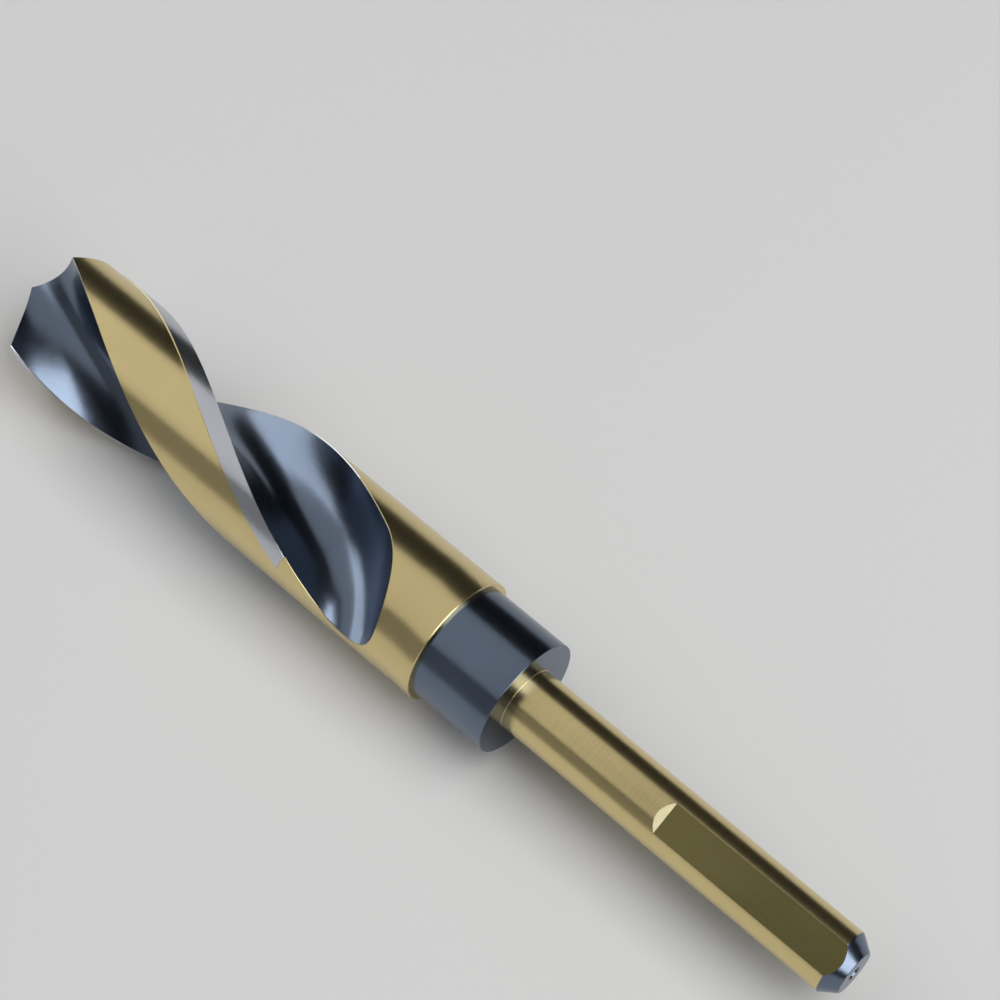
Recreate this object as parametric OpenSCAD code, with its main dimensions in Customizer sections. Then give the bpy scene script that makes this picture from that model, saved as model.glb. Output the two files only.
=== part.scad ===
// Reduced shank drill bit, lying on its body with the point towards -X.
// Heights along the bit are measured from the shank's end face. The origin is under the middle, on the floor.

/* [Shank] */
// Diameter of the reduced shank
shank_d = 9.525; // [9:0.025:11]
// Length of the shank, from its end face to the collar
shank_len = 56.25; // [45:0.25:70]
// Length of the chamfer at the shank's end
chamfer_len = 2.2; // [1:0.1:3]
// How far the ground chamfer swells out from a straight line
chamfer_crown = 0.04; // [0.02:0.01:0.06]
// Diameter of the flat end face inside the chamfer
end_face_d = 6.4; // [5:0.1:7]
// Radius of the fillet where the shank meets the collar
root_fillet = 0.4; // [0.2:0.05:0.8]

/* [Centre hole] */
// Diameter of the centre hole's mouth in the end face
hole_mouth_d = 2.2; // [1.6:0.1:3]
// Included angle of the centre hole's cone
hole_cone_angle = 60; // [50:1:90]
// Diameter of the small bore below the cone
pilot_d = 0.9; // [0.5:0.1:1.2]
// Depth of the small bore, from the end face
pilot_depth = 3.2; // [2.6:0.1:5]

/* [Flats] */
// Distance from the end face to the far end of each flat
flat_len = 30.35; // [20:0.25:40]
// Depth of each flat below the round of the shank
flat_depth = 0.68; // [0.3:0.02:0.9]
// Length of the sloping wall that ends each flat
flat_ramp_len = 1.1; // [0.6:0.1:2]
// Turn of the first flat about the axis, from straight up
flat_turn = -24.2; // [-60:0.2:60]

/* [Collar and plain body] */
// Diameter of the collar
collar_d = 17.9; // [16:0.1:18.8]
// Length of the collar
collar_len = 12.45; // [8:0.05:18]
// Length of the plain body, from the collar to where the flutes end
plain_len = 7.35; // [5:0.05:14]

/* [Fluted body] */
// Diameter over the margins, which is the size of the hole it drills
margin_d = 19.84; // [19.4:0.02:22]
// Height of the margins above the rest of the body
margin_step = 0.17; // [0.1:0.01:0.3]
// Width of each margin as an angle about the axis
margin_angle = 16.3; // [8:0.1:22]
// Width of each land, with its margin, as an angle about the axis
land_angle = 78.6; // [70:0.2:88]
// Length of the flutes, from where they end in the body to the corners of the point
flute_len = 71.95; // [60:0.05:90]
// Length along the axis in which the flutes turn once
flute_lead = 121.7; // [100:0.1:150]
// Thickness of the web between the flutes
web = 2.88; // [2.2:0.02:4]
// Length over which each flute rises out of the body
runout_len = 15.2; // [12:0.2:17]
// Length over which the mouth of each flute widens from its rounded end
mouth_len = 8.5; // [7:0.1:11]
// Turn of the mouth towards its trailing side near its end, which fades away up the flute
mouth_flare = 4; // [0:0.5:8]
// Distance from the foot of each flute's rise to where the margin ends
margin_gap = 2.1; // [1.6:0.1:8]
// Length along the axis over which the end of each margin slants
margin_slant = 0.65; // [0:0.05:2]
// Turn of the lip's corner about the axis, from straight up
lip_turn = 101.6; // [60:0.2:140]

/* [Point] */
// Included angle of the point
point_angle = 118; // [110:1:135]
// Angle from a lip's corner round to the chisel edge
chisel_angle = 57; // [50:1:65]

/* [Hidden] */
$fn = 96;
gold = [0.72, 0.62, 0.42];
blue_steel = [0.27, 0.31, 0.39];
// how far solids run into one another where they join, and cutters past the faces that they cut
reach = 1;
shank_r = shank_d / 2;
end_face_r = end_face_d / 2;
hole_mouth_r = hole_mouth_d / 2;
pilot_r = pilot_d / 2;
collar_r = collar_d / 2;
margin_r = margin_d / 2;
body_r = margin_r - margin_step;
// the lands between the flutes are ground a hair under the plain body
land_relief = 0.03;
land_r = body_r - land_relief;
collar_z = shank_len;
body_z = collar_z + collar_len;
flute_z = body_z + plain_len;
corner_z = flute_z + flute_len;
point_height = margin_r / tan(point_angle / 2);
apex_z = corner_z + point_height;
flat_r = shank_r - flat_depth;
hole_cone_len = (hole_mouth_r - pilot_r) / tan(hole_cone_angle / 2);

// The chamfer's arc, and how far its centre lies behind it for each unit of the chamfer's width.
chamfer_run = shank_r - end_face_r;
chamfer_width = norm([chamfer_run, chamfer_len]);
crown_r = (pow(chamfer_width / 2, 2) + pow(chamfer_crown, 2)) / (2 * chamfer_crown);
crown_setback = (crown_r - chamfer_crown) / chamfer_width;

// The slope of each flank, down from the chisel edge, that brings it to the lip's corner.
flank_turn = chisel_angle - 90;
flank_slope = atan(point_height / (margin_r * cos(flank_turn)));

// The flute's section is a parabola on each side of its middle, from the web out to an edge of the mouth.
half_flute = (180 - land_angle) / 2;
web_r = web / 2;
rise = land_r - web_r;
rise_r = (runout_len * runout_len + rise * rise) / (2 * rise);
flare_len = 2 * runout_len;

// How far the flute's section has moved outwards at a height, along an arc like a grinding wheel's.
function lift(z) =
    let (s = flute_z + runout_len - z)
    s <= 0 ? 0 : rise_r - sqrt(rise_r * rise_r - s * s);

// The share of the mouth's full width at a height: its end is half an ellipse.
function opening(z) =
    let (s = max(0, 1 - (z - flute_z) / mouth_len))
    sqrt(max(0, 1 - s * s));

function flare(z) = mouth_flare * max(0, 1 - (z - flute_z) / flare_len);

// The parabola that starts at height a and meets the land's round at angle h.
function curve(a, h) = (land_r * cos(h) - a) / pow(land_r * sin(h), 2);

// Half the width of the parabola where it meets the round of radius r.
function half_width(r, a, k) =
    let (b = 2 * a * k + 1)
    sqrt((sqrt(b * b - 4 * k * k * (a * a - r * r)) - b) / (2 * k * k));

// The turn of the middle of the flute at a height.
function turn(z) = lip_turn + half_flute + 360 * (z - corner_z) / flute_lead;

// One half of the section at a height: a flute, then the land after it up to the next flute's edge.
flute_steps = 18;
land_steps = 12;
margin_steps = 4;
// the step up to the margin takes this much of the land's angle
step_angle = 1.5;
// where the flute is shut, its points lie on the land's round within this angle on each side of its middle
shut_angle = 3;

function polar(r, a) = [r * cos(a), r * sin(a)];

function flute_points(z, lead_r, shut) =
    let (a = web_r + lift(z))
    let (lead_angle = shut ? shut_angle : (half_flute - flare(z)) * opening(z))
    let (heel_angle = shut ? shut_angle : (half_flute + flare(z)) * opening(z))
    let (lead_curve = curve(a, lead_angle))
    let (heel_curve = curve(a, heel_angle))
    let (low = lead_r > land_r ? half_width(lead_r, a, lead_curve) : land_r * sin(lead_angle))
    let (high = land_r * sin(heel_angle))
    [for (i = [0:flute_steps])
        let (y = -low + (low + high) * i / flute_steps)
        [shut ? sqrt(land_r * land_r - y * y) : a + (y < 0 ? lead_curve : heel_curve) * y * y, y]];

// The land's points keep their places, and the flute's mouth pushes the early ones along as it widens.
early_steps = 4;
push_angle = 0.35;

function land_angle_at(i) =
    let (mouth = half_flute + mouth_flare)
    let (end = 180 - half_flute - margin_angle - step_angle)
    i <= early_steps ? mouth * i / (early_steps + 1)
    : mouth + (end - mouth) * (i - early_steps) / (land_steps - early_steps);

function land_points(first, last, r_margin) =
    let (from = atan2(first[1], first[0]))
    let (to = 180 + atan2(last[1], last[0]))
    let (edge = 180 - half_flute - margin_angle)
    concat(
        [for (i = [1:land_steps]) polar(land_r, max(land_angle_at(i), from + push_angle * i))],
        [for (i = [0:margin_steps - 1]) polar(r_margin, edge + (to - edge) * i / margin_steps)]
    );

function half_ring(z, r_margin, shut) =
    let (flute = flute_points(z, r_margin, shut))
    concat(flute, land_points(flute[flute_steps], flute[0], r_margin));

// How far a point of a slanted ring lies off its height: least at the leading edge, most behind the margin.
function slant(i) =
    i <= flute_steps ? i / flute_steps - 1
    : i <= flute_steps + land_steps ? (i - flute_steps) / land_steps
    : 1 - 2 * (i - flute_steps - land_steps) / (margin_steps + 1);

function ring(z, r_margin, shut, tilt = 0) =
    let (half = half_ring(z, r_margin, shut))
    [for (side = [1, -1]) for (i = [0:len(half) - 1])
        let (h = z + tilt * slant(i))
        let (p = side * half[i])
        let (c = cos(turn(h)))
        let (s = sin(turn(h)))
        [c * p[0] - s * p[1], s * p[0] + c * p[1], h]];

// Heights of the rings: closely spaced where the flute rises out of the body, then even up to the point.
runout_steps = 20;
runout_crowding = 1.5;
even_steps = 46;
runout_top_z = flute_z + runout_len;
top_z = apex_z + reach;
runout_z = [for (i = [1:runout_steps]) flute_z + runout_len * pow(i / runout_steps, runout_crowding)];
even_z = [for (i = [1:even_steps]) runout_top_z + (top_z - runout_top_z) * i / even_steps];

// The margins end between two slanted rings, and even rings stay clear of those.
margin_z = runout_top_z + margin_gap;
margin_ramp = 0.15;
margin_clear = margin_slant / 2 + 2 * margin_ramp;

// The plain body stops this far short of the flutes, and the fluted body starts as far down again inside it.
sink = 0.9;

rings = concat(
    [ring(flute_z - 2 * sink, land_r, true), ring(flute_z, land_r, true)],
    [for (z = runout_z) ring(z, land_r, false)],
    [for (z = even_z) if (z < margin_z - margin_clear) ring(z, land_r, false)],
    [ring(margin_z - margin_ramp, land_r, false, margin_slant / 2)],
    [ring(margin_z + margin_ramp, margin_r, false, margin_slant / 2)],
    [for (z = even_z) if (z > margin_z + margin_clear) ring(z, margin_r, false)]
);
ring_size = len(rings[0]);
ring_count = len(rings);
body_points = concat([for (r = rings) for (p = r) p], [[0, 0, top_z + 2 * reach]]);
body_faces = concat(
    [[for (i = [0:ring_size - 1]) i]],
    [for (k = [0:ring_count - 2]) for (i = [0:ring_size - 1])
        let (j = (i + 1) % ring_size)
        let (a = k * ring_size)
        [a + i, a + i + ring_size, a + j + ring_size]],
    [for (k = [0:ring_count - 2]) for (i = [0:ring_size - 1])
        let (j = (i + 1) % ring_size)
        let (a = k * ring_size)
        [a + i, a + j + ring_size, a + j]],
    [for (i = [0:ring_size - 1])
        let (j = (i + 1) % ring_size)
        let (a = (ring_count - 1) * ring_size)
        [a + i, ring_count * ring_size, a + j]]
);

// The two flanks are ground by blocks that meet above the chisel edge.
module flanks() {
    block = 2 * margin_d;
    for (side = [0, 180])
        translate([0, 0, apex_z])
            rotate([0, flank_slope, lip_turn + flank_turn + side])
                translate([-block / 2, -block / 2, 0])
                    cube(block);
}

module fluted_body() {
    color(gold)
        difference() {
            polyhedron(points = body_points, faces = body_faces, convexity = 8);
            flanks();
        }
}

module plain_body() {
    color(gold)
        translate([0, 0, body_z])
            cylinder(r = body_r, h = plain_len - sink);
}

module collar() {
    color(blue_steel)
        translate([0, 0, collar_z])
            cylinder(r = collar_r, h = collar_len + reach);
}

// The shank, its chamfer and the fillet at its root are one turned profile.
module shank_round() {
    rotate_extrude()
        difference() {
            union() {
                translate([0, chamfer_len])
                    square([shank_r, collar_z + reach - chamfer_len]);
                intersection() {
                    square([shank_r, chamfer_len]);
                    translate([
                        (end_face_r + shank_r) / 2 - crown_setback * chamfer_len,
                        chamfer_len / 2 + crown_setback * chamfer_run
                    ])
                        circle(r = crown_r);
                }
                translate([shank_r - reach, collar_z - root_fillet])
                    square([root_fillet + reach, root_fillet + reach]);
            }
            translate([shank_r + root_fillet, collar_z - root_fillet])
                circle(r = root_fillet);
        }
}

// Each flat is cut by a block as thick as the shank's radius, whose inner end slopes up to the round.
module flats() {
    flat_end = reach + flat_len;
    ramp_slope = flat_ramp_len / flat_depth;
    for (k = [0:2])
        rotate([0, 0, flat_turn + 120 * k])
            translate([flat_r, shank_r, -reach])
                rotate([90, 0, 0])
                    linear_extrude(height = shank_d)
                        polygon([
                            [0, 0],
                            [0, flat_end],
                            [shank_r, flat_end + shank_r * ramp_slope],
                            [shank_r, 0]
                        ]);
}

module centre_hole() {
    rotate_extrude()
        polygon([
            [0, -reach],
            [hole_mouth_r + reach * tan(hole_cone_angle / 2), -reach],
            [pilot_r, hole_cone_len],
            [pilot_r, pilot_depth],
            [0, pilot_depth + pilot_r / 2]
        ]);
}

module shank() {
    color(gold)
        difference() {
            shank_round();
            flats();
            centre_hole();
        }
}

// The whole bit is ground from one bar. It is built upright on its end face, and then laid down.
module drill_bit() {
    translate([apex_z / 2, 0, margin_r])
        rotate([0, -90, 0])
            union() {
                shank();
                collar();
                plain_body();
                fluted_body();
            }
}

drill_bit();
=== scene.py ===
"""A reduced shank drill bit lying on a pale floor.

Two finely lofted meshes stand for it: the fluted body with its point, and the shank with its collar. Both
are drawn upright in millimetres, with heights from the shank's end face up to the point, and then laid down.
"""
import math

import bmesh
import bpy
from mathutils import Matrix, Vector

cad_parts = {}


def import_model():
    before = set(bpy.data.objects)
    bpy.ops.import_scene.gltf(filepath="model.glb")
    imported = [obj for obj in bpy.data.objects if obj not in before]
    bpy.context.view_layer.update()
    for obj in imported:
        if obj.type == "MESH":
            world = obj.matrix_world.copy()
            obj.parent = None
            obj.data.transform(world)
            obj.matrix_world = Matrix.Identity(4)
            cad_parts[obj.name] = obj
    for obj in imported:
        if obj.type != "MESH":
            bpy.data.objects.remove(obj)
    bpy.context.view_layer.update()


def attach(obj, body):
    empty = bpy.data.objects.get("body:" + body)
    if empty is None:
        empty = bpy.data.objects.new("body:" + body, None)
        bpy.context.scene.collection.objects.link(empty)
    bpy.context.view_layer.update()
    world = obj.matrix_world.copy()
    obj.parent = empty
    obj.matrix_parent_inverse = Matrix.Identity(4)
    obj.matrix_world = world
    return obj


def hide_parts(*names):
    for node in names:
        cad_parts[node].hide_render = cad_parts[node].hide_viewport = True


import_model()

MM = 0.001

# Sizes of the shank, with angles in degrees here and below
SHANK_R = 9.525 / 2
SHANK_LEN = 56.25
CHAMFER_LEN = 2.2
END_FACE_R = 3.2
HOLE_MOUTH_R = 1.1
HOLE_CONE_ANGLE = 60
PILOT_R = 0.45
PILOT_DEPTH = 3.2
FLAT_COUNT = 3
FLAT_LEN = 30.35
FLAT_DEPTH = 0.68
FLAT_RAMP_LEN = 1.1
FLAT_TURN = -24.2

# Sizes of the collar, the plain body and the lands with their margins
COLLAR_R = 17.9 / 2
COLLAR_LEN = 12.45
PLAIN_LEN = 7.35
MARGIN_R = 19.84 / 2
MARGIN_STEP = 0.17
MARGIN_ANGLE = 16.3
MARGIN_GAP = 2.1
MARGIN_SLANT = 0.65
LAND_ANGLE = 78.6

# Sizes of the flutes and the point
FLUTE_LEN = 71.95
FLUTE_LEAD = 121.7
WEB_R = 1.44
RUNOUT_LEN = 15.2
MOUTH_LEN = 8.5
MOUTH_FLARE = 4
LIP_TURN = 101.6
POINT_ANGLE = 118
CHISEL_ANGLE = 57

# What follows from these sizes
CHAMFER_SLOPE = (SHANK_R - END_FACE_R) / CHAMFER_LEN
HOLE_CONE_LEN = (HOLE_MOUTH_R - PILOT_R) / math.tan(math.radians(HOLE_CONE_ANGLE / 2))
BODY_R = MARGIN_R - MARGIN_STEP
BODY_Z = SHANK_LEN + COLLAR_LEN
FLUTE_Z = BODY_Z + PLAIN_LEN
CORNER_Z = FLUTE_Z + FLUTE_LEN
POINT_HEIGHT = MARGIN_R / math.tan(math.radians(POINT_ANGLE / 2))
APEX_Z = CORNER_Z + POINT_HEIGHT
MARGIN_Z = FLUTE_Z + RUNOUT_LEN + MARGIN_GAP
HALF_FLUTE = (180 - LAND_ANGLE) / 2
RISE = BODY_R - WEB_R
RISE_R = (RUNOUT_LEN**2 + RISE**2) / (2 * RISE)
FLANK_TURN = CHISEL_ANGLE - 90
RIDGE_TURN = LIP_TURN + CHISEL_ANGLE
FLANK_SLOPE = POINT_HEIGHT / (MARGIN_R * math.cos(math.radians(FLANK_TURN)))

# Widths of the fine broken edges that catch the light
LEAD_EDGE = 0.06
HEEL_EDGE = 0.07
RIM_EDGE = 0.12
ROOT_EDGE = 0.06
CHAMFER_EDGE = 0.06
HOLE_EDGE = 0.05
HOLE_EDGE_INSET = 0.02
HOLE_EDGE_DEPTH = 0.03
# The most that a broken edge takes of a short stretch
EDGE_SHARE = 0.2

# How far the collar reaches into the body, and the body's end face in under the collar
COLLAR_SINK = 0.4
FACE_OVERLAP = 0.5

# Columns of the fluted body's mesh, for half of its section. A land's early ones lie where a mouth opens.
FLUTE_COLUMNS = 56
LAND_COLUMNS = 40
EARLY_COLUMNS = 22
MARGIN_COLUMNS = 12
# The angle that the step up to a margin takes
STEP_ANGLE = 0.55
# Half the angle of a flute where its mouth has closed
SHUT_ANGLE = 1.8
# The least angle between the land's columns where a mouth crowds them
PUSH_ANGLE = 0.12

# Rows of the fluted body's mesh: distances below the flutes' start and on either side of the margins' end
PLAIN_ROWS = (6, 3, 1)
END_ROWS = (0.05, 0.15, 0.3, 0.5)
# Half the length of the step at the margins' end, and how far from it the rows slant
END_RAMP = END_ROWS[0]
SLANT_REACH = 4
# How many rows there are up the run-out, along the flutes and at the point, and how the first ones spread out
RUNOUT_ROWS = 90
RUNOUT_SPREAD = 1.7
MIDDLE_ROWS = 130
POINT_ROWS = 40
POINT_START_Z = CORNER_Z - 10

# Steps about the axis of what is turned, and steps of the fillet at the shank's root
TURNED_STEPS = 288
FILLET_STEPS = 6
# How near its ends a long stretch has rings that keep its shading straight, and what counts as long
SUPPORT = 0.03
SUPPORTED_LEN = 0.3
# How far beyond the flats the round shank has one more ring
PAST_FLATS = 6

# How far the block that cuts a flat reaches past the shank's end and to its sides, and up the ramp in ramps
CUT_PAST_END = 1
CUT_HALF_WIDTH = 10
CUT_RAMPS = 4

# Distances in metres at which two vertices are one, and under which an edge is only a sliver
WELD = 1e-7
SLIVER = 1e-6
# The angle between faces from which their edge is sharp
SHARP_ANGLE = 25
# Halvings in the search for where a curve crosses another
BISECTIONS = 60

# Each finish's place in the list of materials; the flats' finish carries painted shade in its darkened tone
GOLD, BLUE, BRIGHT, FLAT, FLANK, WORN = range(6)


def lying(x, y, z):
    """A point of the upright bit, in millimetres, to where it lies on the floor, in metres."""
    return ((APEX_Z / 2 - z) * MM, y * MM, (x + MARGIN_R) * MM)


def smooth(t):
    """A soft step, from 0 to 1 as t goes from 0 to 1."""
    t = min(1.0, max(0.0, t))
    return t * t * (3 - 2 * t)


def crossing(low, high, below):
    """The place between low and high up to which below() holds."""
    for _ in range(BISECTIONS):
        mid = (low + high) / 2
        low, high = (mid, high) if below(mid) else (low, mid)
    return low


def opening(z):
    """How wide a flute's mouth is open at a height, from 0 at its round end to 1."""
    s = max(0.0, 1 - max(0.0, z - FLUTE_Z) / MOUTH_LEN)
    return math.sqrt(max(0.0, 1 - s * s))


def flare(z):
    """The angle by which the mouth leans to its trailing side at a height."""
    return MOUTH_FLARE * max(0.0, 1 - (z - FLUTE_Z) / (2 * RUNOUT_LEN))


def lift(z):
    """How far the flute's floor has risen along the run-out's arc at a height."""
    s = FLUTE_Z + RUNOUT_LEN - z
    return 0.0 if s <= 0 else RISE_R - math.sqrt(RISE_R**2 - s * s)


def turn(z):
    """The angle about the axis, in radians, of the flute's middle at a height."""
    return math.radians(LIP_TURN + HALF_FLUTE + 360 * (z - CORNER_Z) / FLUTE_LEAD)


def curve(a, h):
    """The k of the parabola x = a + k y y that meets the body's round at an angle h from the x axis."""
    return (BODY_R * math.cos(h) - a) / (BODY_R * math.sin(h)) ** 2


def half_width(r, a, k):
    """The y at which the parabola x = a + k y y meets a round of radius r."""
    b = 2 * a * k + 1
    return math.sqrt((math.sqrt(b * b - 4 * k * k * (a * a - r * r)) - b) / (2 * k * k))


def flute_span(z, r_lead):
    """The two parabolas of a flute's section, and how far each reaches: (a, two values of k, two of y)."""
    a = WEB_R + lift(z)
    lead_angle = math.radians(max(SHUT_ANGLE, (HALF_FLUTE - flare(z)) * opening(z)))
    heel_angle = math.radians(max(SHUT_ANGLE, (HALF_FLUTE + flare(z)) * opening(z)))
    lead_curve = curve(a, lead_angle)
    heel_curve = curve(a, heel_angle)
    low = half_width(r_lead, a, lead_curve) if r_lead > BODY_R else BODY_R * math.sin(lead_angle)
    high = BODY_R * math.sin(heel_angle)
    return a, lead_curve, heel_curve, low, high


def flute_point(z, r_lead, s):
    """A point across the flute between its broken edges, from s = 0 at the leading one to 1 at the heel."""
    if z <= FLUTE_Z:
        angle = math.radians(SHUT_ANGLE) * (2 * s - 1)
        return BODY_R * math.cos(angle), BODY_R * math.sin(angle)
    a, lead_curve, heel_curve, low, high = flute_span(z, r_lead)
    start = -low + min(LEAD_EDGE, EDGE_SHARE * low)
    end = high - min(HEEL_EDGE, EDGE_SHARE * high)
    y = start + (end - start) * s
    return a + (lead_curve if y < 0 else heel_curve) * y * y, y


def mouth_angles(z, r_lead):
    """Angles of the flute's two edges about the axis, from its middle."""
    if z <= FLUTE_Z:
        return -math.radians(SHUT_ANGLE), math.radians(SHUT_ANGLE)
    a, lead_curve, heel_curve, low, high = flute_span(z, r_lead)
    return -math.atan2(low, a + lead_curve * low * low), math.atan2(high, a + heel_curve * high * high)


def ridge_share():
    """Where the chisel edge comes out in the flute, as a share of the way across."""
    wanted = math.radians(RIDGE_TURN) - turn(APEX_Z)

    def before(share):
        """Whether a share of the way across is short of the chisel edge."""
        x, y = flute_point(APEX_Z, MARGIN_R, share)
        return math.atan2(y, x) < wanted

    return crossing(0, 1, before)


RIDGE_SHARE = ridge_share()
RIDGE_COLUMN = round(FLUTE_COLUMNS * RIDGE_SHARE)
LAND_FIRST = FLUTE_COLUMNS + 1
LAND_LAST = LAND_FIRST + LAND_COLUMNS
MARGIN_FIRST = LAND_LAST + 1
HALF_COLUMNS = MARGIN_FIRST + MARGIN_COLUMNS
COLUMNS = [(i, side) for side in (1, -1) for i in range(HALF_COLUMNS)]


def column_share(i):
    """A flute column's share of the way across, with one column at the chisel edge's end."""
    if i <= RIDGE_COLUMN:
        return RIDGE_SHARE * i / RIDGE_COLUMN
    return RIDGE_SHARE + (1 - RIDGE_SHARE) * (i - RIDGE_COLUMN) / (FLUTE_COLUMNS - RIDGE_COLUMN)


def margin_share(i):
    """A margin column's share of the way from behind the margin to its leading edge."""
    return (i - MARGIN_FIRST) / (MARGIN_COLUMNS - 1)


def margin_height(z):
    """How far the margins stand above the body at a height."""
    return MARGIN_STEP * smooth((z - MARGIN_Z + END_RAMP) / (2 * END_RAMP))


def half_section(i, z, row_z):
    """The column i of half the section at a height, with the margins as high as at the height of its row."""
    r_margin = BODY_R + margin_height(row_z)
    if i < LAND_FIRST:
        return flute_point(z, r_margin, column_share(i))
    lead, heel = mouth_angles(z, r_margin)
    margin_from = math.pi - math.radians(HALF_FLUTE + MARGIN_ANGLE)
    if i < MARGIN_FIRST:
        j = i - LAND_FIRST
        mouth = math.radians(HALF_FLUTE + MOUTH_FLARE)
        land_from = heel + min(HEEL_EDGE / BODY_R, EDGE_SHARE * heel)
        land_to = margin_from - math.radians(STEP_ANGLE)
        if j < EARLY_COLUMNS:
            place = mouth * j / EARLY_COLUMNS
        else:
            place = mouth + (land_to - mouth) * (j - EARLY_COLUMNS) / (LAND_COLUMNS - EARLY_COLUMNS)
        angle = max(place, land_from + math.radians(PUSH_ANGLE) * j)
        return BODY_R * math.cos(angle), BODY_R * math.sin(angle)
    margin_to = math.pi + lead - min(LEAD_EDGE / BODY_R, -EDGE_SHARE * lead)
    angle = margin_from + (margin_to - margin_from) * margin_share(i)
    return r_margin * math.cos(angle), r_margin * math.sin(angle)


def slant(i):
    """How a column shifts where the margins end on a slant: -1 at the leading edge, 1 behind the margin."""
    if i < LAND_FIRST:
        return i / FLUTE_COLUMNS - 1
    if i < MARGIN_FIRST:
        return (i - LAND_FIRST) / LAND_COLUMNS
    return 1 - 2 * margin_share(i)


def body_point(i, z, side, tilt=0.0):
    """The point of a column at a height, shifted along the axis by a tilt where its row slants."""
    x, y = half_section(i, z + tilt, z)
    c, s = math.cos(turn(z + tilt)), math.sin(turn(z + tilt))
    return side * (c * x - s * y), side * (s * x + c * y), z + tilt


def flank_height(x, y):
    """The height of the point's two flanks over a place in plan."""
    a = math.radians(LIP_TURN + FLANK_TURN)
    return APEX_Z - FLANK_SLOPE * abs(x * math.cos(a) + y * math.sin(a))


def column_top(i, side):
    """The height at which a column meets the flanks."""

    def under_flank(height):
        """Whether the column is still under the flank at a height."""
        x, y, z = body_point(i, height, side)
        return z < flank_height(x, y)

    return crossing(POINT_START_Z, APEX_Z, under_flank)


def finish_at(i, z):
    """Which finish the face after column i has at a height."""
    if z < FLUTE_Z:
        return GOLD
    on_margins = z > MARGIN_Z
    if i in (FLUTE_COLUMNS, HALF_COLUMNS - 1):
        return BRIGHT if on_margins else WORN
    if i < FLUTE_COLUMNS:
        return BLUE
    if i == LAND_LAST and on_margins:
        return WORN
    return BRIGHT if i > LAND_LAST and on_margins else GOLD


def rim_rows():
    """The rows across the body's end face and its broken rim, each as its points and its height."""
    start = [body_point(i, BODY_Z, side) for i, side in COLUMNS]
    inner = (COLLAR_R - FACE_OVERLAP) / BODY_R
    rim = (BODY_R - RIM_EDGE) / BODY_R
    places = [(inner, BODY_Z), (rim, BODY_Z), (1, BODY_Z + RIM_EDGE)]
    return [([(x * scale, y * scale, z) for x, y, _ in start], z) for scale, z in places]


def row_heights():
    """The heights of the rows from the plain body to where the point's rows start."""
    heights = [FLUTE_Z - d for d in PLAIN_ROWS] + [FLUTE_Z]
    before = MARGIN_Z - END_ROWS[-1]
    after = MARGIN_Z + END_ROWS[-1]
    shares = [(k / RUNOUT_ROWS) ** RUNOUT_SPREAD for k in range(1, RUNOUT_ROWS)]
    heights += [FLUTE_Z + (before - FLUTE_Z) * share for share in shares]
    heights += [MARGIN_Z - d for d in reversed(END_ROWS)] + [MARGIN_Z] + [MARGIN_Z + d for d in END_ROWS]
    heights += [after + (POINT_START_Z - after) * k / MIDDLE_ROWS for k in range(1, MIDDLE_ROWS + 1)]
    return heights


def middle_rows():
    """The rows along the body, which slant about the margins' end."""
    rows = []
    for z in row_heights():
        tilt = smooth(1 - abs(z - MARGIN_Z) / SLANT_REACH) * MARGIN_SLANT / 2
        rows.append(([body_point(i, z, side, tilt * slant(i)) for i, side in COLUMNS], z))
    return rows


def point_rows():
    """The rows that spread up to the point's flanks."""
    tops = [column_top(i, side) for i, side in COLUMNS]
    rows = []
    for n in range(1, POINT_ROWS + 1):
        heights = [POINT_START_Z + (top - POINT_START_Z) * (n / POINT_ROWS) for top in tops]
        points = [body_point(i, z, side) for (i, side), z in zip(COLUMNS, heights)]
        rows.append((points, POINT_START_Z))
    return rows


def new_ring(bm, points):
    """New vertices at the points of the upright bit."""
    return [bm.verts.new(lying(*p)) for p in points]


def new_object(bm, name):
    """An object of a mesh, welded, and smooth but for its sharp edges."""
    bmesh.ops.remove_doubles(bm, verts=bm.verts, dist=WELD)
    bmesh.ops.recalc_face_normals(bm, faces=bm.faces)
    for face in bm.faces:
        face.smooth = True
    mesh = bpy.data.meshes.new(name)
    bm.to_mesh(mesh)
    bm.free()
    mesh.set_sharp_from_angle(angle=math.radians(SHARP_ANGLE))
    obj = bpy.data.objects.new(name, mesh)
    bpy.context.scene.collection.objects.link(obj)
    return obj


def triangulate_caps(bm):
    """Cuts the faces with more than four corners into triangles."""
    bmesh.ops.triangulate(bm, faces=[f for f in bm.faces if len(f.verts) > 4])


def make_body():
    """The plain body, flutes, lands, margins and point as one loft."""
    bm = bmesh.new()
    rows = [(new_ring(bm, points), z) for points, z in rim_rows() + middle_rows() + point_rows()]
    for (low, z_low), (high, z_high) in zip(rows, rows[1:]):
        for k, (i, _) in enumerate(COLUMNS):
            j = (k + 1) % len(COLUMNS)
            face = bm.faces.new((low[k], low[j], high[j], high[k]))
            face.material_index = finish_at(i, (z_low + z_high) / 2)
    top = rows[-1][0]
    first = RIDGE_COLUMN
    second = RIDGE_COLUMN + HALF_COLUMNS
    for flank in (top[first : second + 1], top[second:] + top[: first + 1]):
        bm.faces.new(flank).material_index = FLANK
    bm.faces.new(rows[0][0])
    triangulate_caps(bm)
    return new_object(bm, "bit_body")


def supported(profile):
    """The profile with points added near the ends of its long stretches, so that they shade straight."""
    points = []
    for (r, z, finish), (next_r, next_z, _) in zip(profile, profile[1:]):
        points.append((r, z, finish))
        length = math.hypot(next_r - r, next_z - z)
        if length > SUPPORTED_LEN:
            for share in (SUPPORT / length, 1 - SUPPORT / length):
                points.append((r + (next_r - r) * share, z + (next_z - z) * share, finish))
    return points + profile[-1:]


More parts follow.
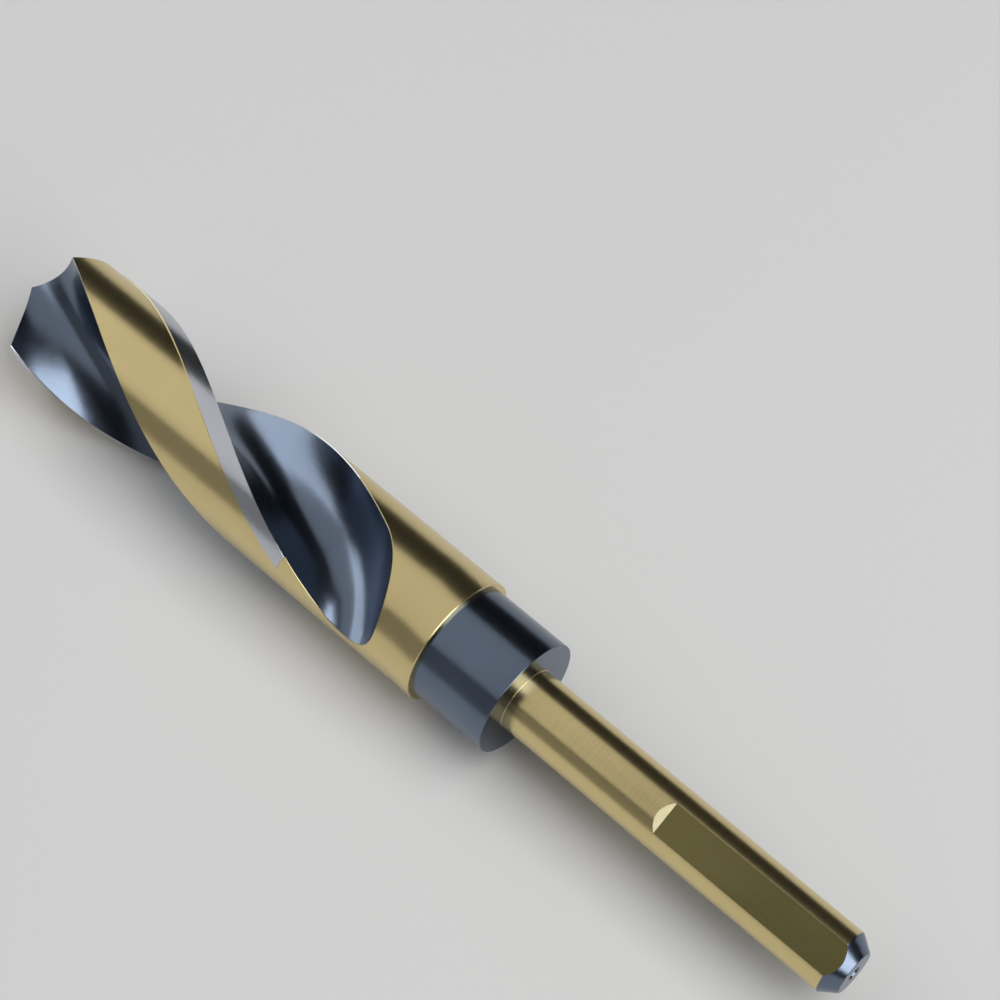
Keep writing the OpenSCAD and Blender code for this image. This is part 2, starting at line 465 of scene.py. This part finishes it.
def turned(bm, profile):
    """A surface turned about the axis from points of (radius, height, finish of the stretch that follows)."""
    profile = supported(profile)
    angles = [2 * math.pi * k / TURNED_STEPS for k in range(TURNED_STEPS)]
    rings = [new_ring(bm, [(r * math.cos(a), r * math.sin(a), z) for a in angles]) for r, z, _ in profile]
    for low, high, (_, _, finish) in zip(rings, rings[1:], profile):
        for k in range(TURNED_STEPS):
            j = (k + 1) % TURNED_STEPS
            bm.faces.new((low[k], low[j], high[j], high[k])).material_index = finish


def hole_profile():
    """The centre hole: its small bore and the cone that leads into it."""
    return [
        (0, PILOT_DEPTH + PILOT_R / 2, BLUE),
        (PILOT_R, PILOT_DEPTH, BLUE),
        (PILOT_R, HOLE_CONE_LEN, BLUE),
        (HOLE_MOUTH_R - HOLE_EDGE_INSET, HOLE_EDGE_DEPTH, BLUE),
        (HOLE_MOUTH_R + HOLE_EDGE, 0, BLUE),
    ]


def shank_profile():
    """The end face, the chamfer, the round shank and the start of the fillet at its root."""
    profile = [
        (END_FACE_R - CHAMFER_EDGE, 0, BLUE),
        (END_FACE_R + CHAMFER_EDGE * CHAMFER_SLOPE, CHAMFER_EDGE, BLUE),
        (SHANK_R - CHAMFER_EDGE * CHAMFER_SLOPE, CHAMFER_LEN - CHAMFER_EDGE, BLUE),
        (SHANK_R, CHAMFER_LEN + CHAMFER_EDGE, GOLD),
        (SHANK_R, FLAT_LEN / 2, GOLD),
        (SHANK_R, FLAT_LEN + PAST_FLATS, GOLD),
    ]
    for n in range(FILLET_STEPS):
        a = math.radians(90 * n / FILLET_STEPS)
        r = SHANK_R + ROOT_EDGE * (1 - math.cos(a))
        z = SHANK_LEN - ROOT_EDGE * (1 - math.sin(a))
        profile.append((r, z, GOLD))
    return profile


def collar_profile():
    """The collar, from its face at the shank's root to where it ends inside the body."""
    return [
        (SHANK_R + ROOT_EDGE, SHANK_LEN, BLUE),
        (COLLAR_R - RIM_EDGE / 2, SHANK_LEN, BLUE),
        (COLLAR_R, SHANK_LEN + RIM_EDGE / 2, BLUE),
        (COLLAR_R, SHANK_LEN + COLLAR_LEN / 2, BLUE),
        (COLLAR_R, BODY_Z + COLLAR_SINK, BLUE),
        (0, BODY_Z + COLLAR_SINK, BLUE),
    ]


def flat_cutter(n):
    """The block that cuts one flat, with its inner end sloping up to the round."""
    flat_r = SHANK_R - FLAT_DEPTH
    outer_r = flat_r + CUT_RAMPS * FLAT_DEPTH
    outline = [
        (flat_r, -CUT_PAST_END),
        (flat_r, FLAT_LEN),
        (outer_r, FLAT_LEN + CUT_RAMPS * FLAT_RAMP_LEN),
        (outer_r, -CUT_PAST_END),
    ]
    a = math.radians(FLAT_TURN + 360 / FLAT_COUNT * n)
    c, s = math.cos(a), math.sin(a)
    bm = bmesh.new()
    near, far = [
        new_ring(bm, [(c * x - s * y, s * x + c * y, z) for x, z in outline])
        for y in (-CUT_HALF_WIDTH, CUT_HALF_WIDTH)
    ]
    for k in range(len(outline)):
        j = (k + 1) % len(outline)
        # The flat's own face takes the darkened flat finish, whose tone is painted shade
        bm.faces.new((near[k], near[j], far[j], far[k])).material_index = FLAT if k == 0 else WORN
    for end in (near, far):
        bm.faces.new(end).material_index = FLAT
    return new_object(bm, f"flat_cutter_{n}")


def cut_flats(shank):
    """Cuts the flats into the shank, each with the finishes of its cutter."""
    for n in range(FLAT_COUNT):
        cutter = flat_cutter(n)
        add_finishes(cutter)
        cut = shank.modifiers.new("flat", "BOOLEAN")
        cut.operation = "DIFFERENCE"
        cut.solver = "EXACT"
        cut.object = cutter
        with bpy.context.temp_override(object=shank, active_object=shank):
            bpy.ops.object.modifier_apply(modifier=cut.name)
        bpy.data.objects.remove(cutter)


def clean_cuts(shank):
    """Takes out the slivers that the cuts leave and marks the sharp edges afresh."""
    bm = bmesh.new()
    bm.from_mesh(shank.data)
    bmesh.ops.dissolve_degenerate(bm, dist=SLIVER, edges=bm.edges)
    triangulate_caps(bm)
    bm.to_mesh(shank.data)
    bm.free()
    shank.data.set_sharp_from_angle(angle=math.radians(SHARP_ANGLE))


def make_shank():
    """The shank with its chamfer, centre hole and flats, and the collar."""
    bm = bmesh.new()
    turned(bm, hole_profile() + shank_profile() + collar_profile())
    shank = new_object(bm, "bit_shank")
    add_finishes(shank)
    cut_flats(shank)
    clean_cuts(shank)
    return shank


def principled(name):
    """A new material with its nodes, links and shader."""
    m = bpy.data.materials.new(name)
    m.use_nodes = True
    return m, m.node_tree.nodes, m.node_tree.links, m.node_tree.nodes["Principled BSDF"]


def ramp(nodes, links, value, stops):
    """A colour ramp driven by a value, from two stops of (position, linear colour)."""
    node = nodes.new("ShaderNodeValToRGB")
    for element, (position, colour) in zip(node.color_ramp.elements, stops):
        element.position = position
        element.color = (*colour, 1)
    links.new(value, node.inputs["Fac"])
    return node.outputs["Color"]


def noise(nodes, links, scale, stretch):
    """Noise in the object's own frame, with its scale times a factor along each axis."""
    where = nodes.new("ShaderNodeTexCoord")
    mapping = nodes.new("ShaderNodeMapping")
    mapping.inputs["Scale"].default_value = stretch
    links.new(where.outputs["Object"], mapping.inputs["Vector"])
    node = nodes.new("ShaderNodeTexNoise")
    node.inputs["Scale"].default_value = scale
    node.inputs["Detail"].default_value = 2.0
    links.new(mapping.outputs["Vector"], node.inputs["Vector"])
    return node.outputs["Fac"]


def add_bump(nodes, links, shader, height, distance):
    """Lets a height between 0 and 1 raise the surface by up to a distance in metres."""
    bump = nodes.new("ShaderNodeBump")
    bump.inputs["Strength"].default_value = 1.0
    bump.inputs["Distance"].default_value = distance
    links.new(height, bump.inputs["Height"])
    links.new(bump.outputs["Normal"], shader.inputs["Normal"])


def to_range(nodes, links, value, low, high):
    """The middle half of a noise's values, spread from low to high."""
    node = nodes.new("ShaderNodeMapRange")
    node.inputs["From Min"].default_value = 0.25
    node.inputs["From Max"].default_value = 0.75
    node.inputs["To Min"].default_value = low
    node.inputs["To Max"].default_value = high
    links.new(value, node.inputs["Value"])
    return node.outputs["Result"]


# Scale of the broad patches between a metal's two tones, and the part of the noise in which they blend
PATCH_SCALE = 60
PATCH_BLEND = (0.35, 0.65)


def metal(name, tones, rough, grain_scale, grain_stretch, grain_depth):
    """A coated or ground metal: two tones in broad soft patches, with a fine grain in roughness and bump."""
    m, nodes, links, shader = principled(name)
    shader.inputs["Metallic"].default_value = 1.0
    grain = noise(nodes, links, grain_scale, grain_stretch)
    patches = noise(nodes, links, PATCH_SCALE, (1, 1, 1))
    links.new(ramp(nodes, links, patches, zip(PATCH_BLEND, tones)), shader.inputs["Base Color"])
    links.new(to_range(nodes, links, grain, *rough), shader.inputs["Roughness"])
    add_bump(nodes, links, shader, grain, grain_depth)
    return m


gold = metal(
    "gold_coating",
    tones=[(0.695, 0.565, 0.28), (0.73, 0.595, 0.297)],
    rough=(0.235, 0.265),
    grain_scale=2500,
    grain_stretch=(1, 0.06, 0.06),
    grain_depth=8e-6,
)
blue = metal(
    "blue_steel",
    tones=[(0.137, 0.170, 0.227), (0.159, 0.197, 0.262)],
    rough=(0.215, 0.25),
    grain_scale=1500,
    grain_stretch=(0.3, 1, 1),
    grain_depth=6e-6,
)
bright = metal(
    "ground_steel",
    tones=[(0.55, 0.57, 0.61), (0.60, 0.62, 0.66)],
    rough=(0.235, 0.265),
    grain_scale=2500,
    grain_stretch=(0.4, 1, 1),
    grain_depth=6e-6,
)
# The flats: a rougher milled grain, and a tone darkened to about a third of the gold's as painted shade,
# standing in for the dark reflection that the flats show
flat_gold_painted_shade = metal(
    "milled_flat_painted_shade",
    tones=[(0.232, 0.204, 0.083), (0.27, 0.237, 0.097)],
    rough=(0.3, 0.36),
    grain_scale=2500,
    grain_stretch=(0.05, 1, 1),
    grain_depth=1.5e-5,
)
flank_gold = metal(
    "point_flank",
    tones=[(0.62, 0.505, 0.255), (0.67, 0.545, 0.28)],
    rough=(0.29, 0.36),
    grain_scale=2500,
    grain_stretch=(1, 1, 0.1),
    grain_depth=1.5e-5,
)
worn = metal(
    "worn_edge",
    tones=[(0.38, 0.345, 0.212), (0.42, 0.38, 0.234)],
    rough=(0.3, 0.36),
    grain_scale=2500,
    grain_stretch=(1, 0.1, 1),
    grain_depth=1e-5,
)
materials = [gold, blue, bright, flat_gold_painted_shade, flank_gold, worn]


def add_finishes(obj):
    """Gives an object the finishes, in the order of their places."""
    for m in materials:
        obj.data.materials.append(m)


body = make_body()
add_finishes(body)
shank = make_shank()
for piece in (body, shank):
    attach(piece, "root")
    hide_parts("drill_bit")

# The camera, where the photograph was taken from: its place in millimetres, directions, lens and sensor
CAMERA_PLACE = (123.4, -114.9, 318.1)
CAMERA_FORWARD = (-0.3513, 0.3761, -0.8574)
CAMERA_UP = (-0.5855, 0.6264, 0.5147)
LENS = 92.81
SENSOR_WIDTH = 36


def facing(right, up, back):
    """The rotation that turns an object's own axes to three directions."""
    return Matrix((right, up, back)).transposed().to_4x4()


def add_camera():
    """The camera that the scene is rendered with."""
    forward = Vector(CAMERA_FORWARD).normalized()
    right = forward.cross(Vector(CAMERA_UP)).normalized()
    up = right.cross(forward)
    camera = bpy.data.objects.new("camera", bpy.data.cameras.new("camera"))
    bpy.context.scene.collection.objects.link(camera)
    camera.matrix_world = Matrix.Translation(Vector(CAMERA_PLACE) * MM) @ facing(right, up, -forward)
    camera.data.lens = LENS
    camera.data.sensor_width = SENSOR_WIDTH
    camera.data.clip_start = 10 * MM
    bpy.context.scene.camera = camera


def add_floor():
    """A plain pale floor, a little uneven in tone."""
    bpy.ops.mesh.primitive_plane_add(size=6, location=(0, 0, 0))
    plane = bpy.context.object
    plane.name = "floor"
    m, nodes, links, shader = principled("floor")
    patches = noise(nodes, links, 3.0, (1, 1, 1))
    colour = ramp(nodes, links, patches, [(0.3, (0.588, 0.588, 0.586)), (0.7, (0.602, 0.602, 0.600))])
    links.new(colour, shader.inputs["Base Color"])
    shader.inputs["Roughness"].default_value = 0.7
    shader.inputs["Specular IOR Level"].default_value = 0.2
    plane.data.materials.append(m)


def soft_light(name, place, shines, along, size, radiance):
    """A rectangular lamp at a place, with its first side along a direction, at an even radiance."""
    data = bpy.data.lights.new(name, "AREA")
    data.shape = "RECTANGLE"
    data.size, data.size_y = size
    data.energy = math.pi * size[0] * size[1] * radiance
    lamp = bpy.data.objects.new(name, data)
    bpy.context.scene.collection.objects.link(lamp)
    back = -Vector(shines).normalized()
    second = back.cross(Vector(along)).normalized()
    lamp.matrix_world = facing(second.cross(back), second, back)
    lamp.location = place


def add_world():
    """A dark, slightly blue room beyond the lamps."""
    world = bpy.data.worlds.new("studio")
    bpy.context.scene.world = world
    world.use_nodes = True
    background = world.node_tree.nodes["Background"]
    background.inputs["Color"].default_value = (0.9, 0.95, 1, 1)
    background.inputs["Strength"].default_value = 0.01


add_camera()
add_floor()
# Places and sizes of the lamps in metres
soft_light(
    "overhead",
    place=(-0.78, -0.3, 1.2),
    shines=(0, 0, -1),
    along=(1, 0, 0),
    size=(1.16, 2.4),
    radiance=0.62,
)
soft_light(
    "key",
    place=(0.56, 0.257, 1.158),
    shines=(-0.523, -0.154, -0.838),
    along=(0.808, -0.377, -0.453),
    size=(1.0, 1.1),
    radiance=3.6,
)
soft_light(
    "shank_end",
    place=(1.21, -0.05, 0.65),
    shines=(-0.87, 0, -0.47),
    along=(0, 1, 0),
    size=(1.1, 0.6),
    radiance=3.6,
)
soft_light(
    "point_end",
    place=(-1.5, 0.0, 0.8),
    shines=(1, 0, 0),
    along=(0, 1, 0),
    size=(2.0, 1.6),
    radiance=2.0,
)
soft_light(
    "near_side",
    place=(0.0, -1.5, 0.5),
    shines=(0, 1, 0),
    along=(1, 0, 0),
    size=(3.0, 1.0),
    radiance=0.2,
)
add_world()
bpy.context.scene.view_settings.view_transform = "Standard"
